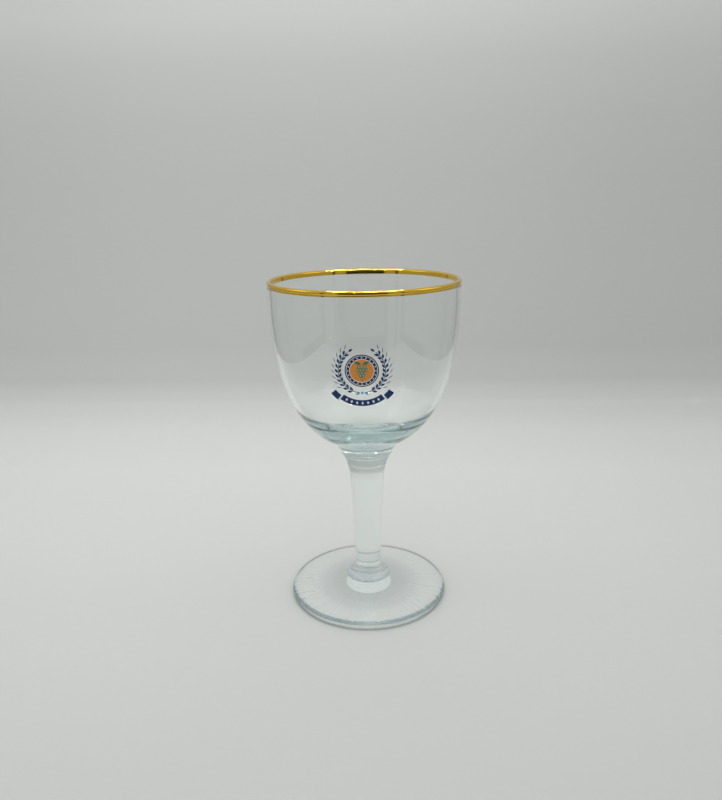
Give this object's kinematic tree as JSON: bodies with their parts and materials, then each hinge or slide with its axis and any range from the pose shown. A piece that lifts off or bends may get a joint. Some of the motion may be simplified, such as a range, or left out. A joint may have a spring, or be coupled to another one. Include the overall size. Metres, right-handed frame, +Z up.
{
  "type": "chalice beer glass",
  "caption": "Clear stemmed beer chalice with a deep round bowl, tapered stem, round foot, gold lip band and a small enamel print on the front.",
  "frame": {"origin": "middle of the foot, on the surface that the glass stands on", "axes": "+Z up along the axis of the glass, print facing -Y, +X to the right of someone who looks at the print"},
  "size_m": [0.0998, 0.0998, 0.1779],
  "materials": {
    "clear_glass": "fire polished",
    "fired_gold": "burnished fired gold",
    "enamel_navy": "fired enamel print",
    "enamel_black": "fired enamel print",
    "enamel_orange": "fired enamel print",
    "enamel_green": "fired enamel print",
    "enamel_blue": "fired enamel print",
    "enamel_white": "fired enamel print"
  },
  "bodies": {
    "root": {"foot": "clear_glass", "stem": "clear_glass", "bowl": "clear_glass", "gold_rim": "fired_gold", "print_navy": "enamel_navy", "print_black": "enamel_black", "print_orange": "enamel_orange", "print_green": "enamel_green", "print_blue": "enamel_blue", "print_white": "enamel_white"}
  },
  "joints": []
}
